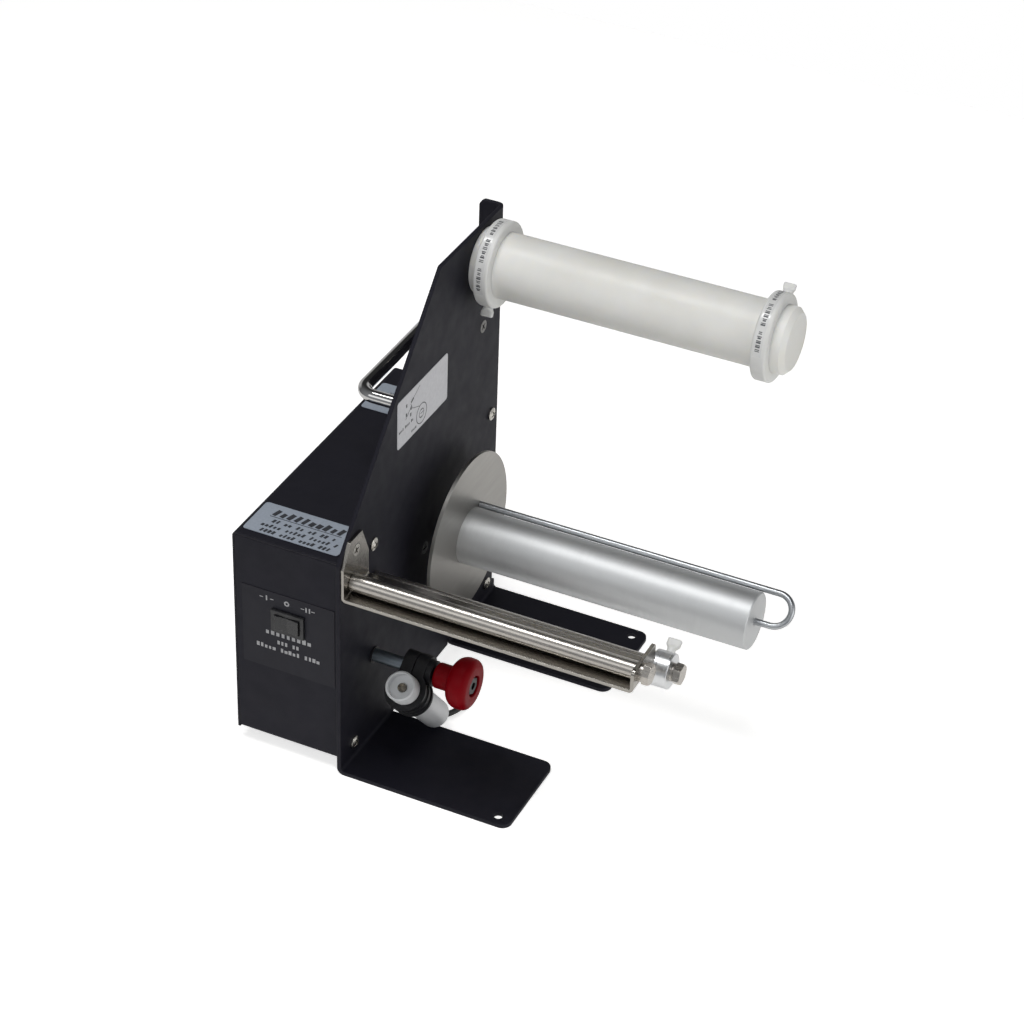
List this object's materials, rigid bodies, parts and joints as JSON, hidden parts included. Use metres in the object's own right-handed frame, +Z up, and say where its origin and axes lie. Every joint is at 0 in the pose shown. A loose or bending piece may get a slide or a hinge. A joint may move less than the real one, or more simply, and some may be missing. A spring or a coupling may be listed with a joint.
{
  "type": "label dispenser",
  "caption": "Bench-top label dispenser: bent side plate with motor case, supply rod with collars, driven take-up spindle, strip bar and label sensor.",
  "frame": {"origin": "middle between the two bench bolt holes in the feet, on the bench", "axes": "+X from the side plate towards the rods' free ends, +Y towards the rear flange, +Z up"},
  "size_m": [0.2951, 0.206, 0.283],
  "materials": {
    "powder_coat": "matt black powder coat with a fine orange-peel texture",
    "screw_nickel": "nickel-plated steel",
    "switch_black": "moulded black plastic",
    "rocker_black": "smooth black plastic",
    "panel_film": "printed black film with plain grey marks",
    "label_grey": "printed label film with a plain dotted pattern",
    "plate_label": "printed label film with plain lines",
    "handle_chrome": "bright chrome",
    "nylon_natural": "turned natural plastic",
    "nylon_white": "turned white plastic",
    "spindle_aluminium": "turned and anodised aluminium",
    "bright_aluminium": "bright turned aluminium",
    "disc_steel": "polished stainless steel",
    "dark_steel": "blackened steel",
    "wire_bright": "bright drawn wire",
    "gearbox_cast": "die-cast aluminium",
    "brass": "turned brass",
    "motor_steel": "zinc-plated steel",
    "board_green": "circuit board with solder resist",
    "board_dark": "moulded and anodised components",
    "strip_stainless": "polished stainless sheet",
    "rod_stainless": "bright stainless steel",
    "stud_zinc": "zinc-plated steel",
    "clamp_black": "moulded glass-filled plastic",
    "sensor_barrel": "plated metal barrel",
    "sensor_glass": "lens with a metallic reflex",
    "rubber_black": "soft black rubber",
    "knob_red": "moulded deep red plastic"
  },
  "bodies": {
    "frame": {"side_plate": "powder_coat", "case_tray": "powder_coat", "case_cover": "powder_coat", "case_screws": "screw_nickel", "cover_screws": "screw_nickel", "switch_panel": "panel_film", "switch_body": "switch_black", "front_label": "label_grey", "rear_label": "label_grey", "side_label": "plate_label", "carry_handle": "handle_chrome", "handle_screws": "screw_nickel", "supply_rod": "nylon_natural", "supply_bolt": "screw_nickel", "supply_washer": "screw_nickel", "gearbox": "gearbox_cast", "gearbox_bush": "brass", "gearbox_screws": "dark_steel", "motor": "motor_steel", "motor_end_cap": "switch_black", "control_board": "board_green", "board_parts": "board_dark", "board_standoffs": "brass", "power_socket": "switch_black", "socket_nut": "screw_nickel", "strip_bracket": "strip_stainless", "bracket_screw": "screw_nickel", "strip_rod": "rod_stainless", "guide_rod": "rod_stainless", "inner_rod_bolts": "rod_stainless", "outer_rod_bolts": "rod_stainless", "rod_washer": "rod_stainless", "sensor_stud": "stud_zinc", "stud_washer": "clamp_black", "stud_nut": "screw_nickel", "sensor_cable": "rubber_black", "cable_grommet": "rubber_black"},
    "inner_collar": {"inner_collar": "nylon_white"},
    "inner_thumb_screw": {"inner_collar_screw": "nylon_white"},
    "outer_collar": {"outer_collar": "nylon_white"},
    "outer_thumb_screw": {"outer_collar_screw": "nylon_white"},
    "spindle": {"take_up_spindle": "spindle_aluminium", "take_up_disc": "disc_steel", "spindle_hub": "bright_aluminium", "hub_set_screw": "dark_steel", "output_shaft": "motor_steel"},
    "clip": {"wire_clip": "wire_bright"},
    "guide_collar": {"guide_collar": "bright_aluminium"},
    "guide_thumb_screw": {"guide_collar_screw": "nylon_white"},
    "rocker": {"rocker": "rocker_black"},
    "clamp": {"sensor_clamp": "clamp_black"},
    "sensor": {"sensor_body": "sensor_barrel", "sensor_lens": "sensor_glass"},
    "knob": {"knob": "knob_red", "knob_insert": "dark_steel", "knob_washer": "clamp_black"}
  },
  "joints": [
    {"name": "spindle_spin", "type": "hinge", "parent": "frame", "child": "spindle", "pos_m": [0.011, 0.0275, 0.0958], "axis": [1, 0, 0], "continuous": true},
    {"name": "clip_pull", "type": "slide", "parent": "spindle", "child": "clip", "axis": [1, 0, 0], "range_m": [0, 0.19]},
    {"name": "inner_collar_slide", "type": "slide", "parent": "frame", "child": "inner_collar", "axis": [1, 0, 0], "range_m": [-0.0035, 0.075]},
    {"name": "inner_screw_turn", "type": "hinge", "parent": "inner_collar", "child": "inner_thumb_screw", "pos_m": [-0.08925, 0.0743, 0.257], "axis": [0, -0.4695, -0.8829], "range_deg": [-30, 360]},
    {"name": "outer_collar_slide", "type": "slide", "parent": "frame", "child": "outer_collar", "axis": [1, 0, 0], "range_m": [-0.08, 0.035]},
    {"name": "outer_screw_turn", "type": "hinge", "parent": "outer_collar", "child": "outer_thumb_screw", "pos_m": [0.08175, 0.0743, 0.257], "axis": [0, 0.6691, 0.7431], "range_deg": [-30, 360]},
    {"name": "guide_collar_slide", "type": "slide", "parent": "frame", "child": "guide_collar", "axis": [1, 0, 0], "range_m": [-0.17, 0.0015]},
    {"name": "guide_screw_turn", "type": "hinge", "parent": "guide_collar", "child": "guide_thumb_screw", "pos_m": [0.0815, -0.062, 0.1155], "axis": [0, 0.8746, 0.4848], "range_deg": [-30, 360]},
    {"name": "rocker_tilt", "type": "hinge", "parent": "frame", "child": "rocker", "pos_m": [-0.134, -0.1, 0.0965], "axis": [0, 0, 1], "range_deg": [-8, 8]},
    {"name": "clamp_swing", "type": "hinge", "parent": "frame", "child": "clamp", "pos_m": [-0.0701, -0.0615, 0.0605], "axis": [1, 0, 0], "range_deg": [-4, 30], "deforming": ["sensor_cable"]},
    {"name": "sensor_slide", "type": "slide", "parent": "clamp", "child": "sensor", "axis": [0, -0.6561, 0.7547], "range_m": [0, 0.008], "deforming": ["sensor_cable"]},
    {"name": "knob_turn", "type": "hinge", "parent": "frame", "child": "knob", "pos_m": [-0.049, -0.0615, 0.0605], "axis": [1, 0, 0], "range_deg": [-20, 360]}
  ]
}
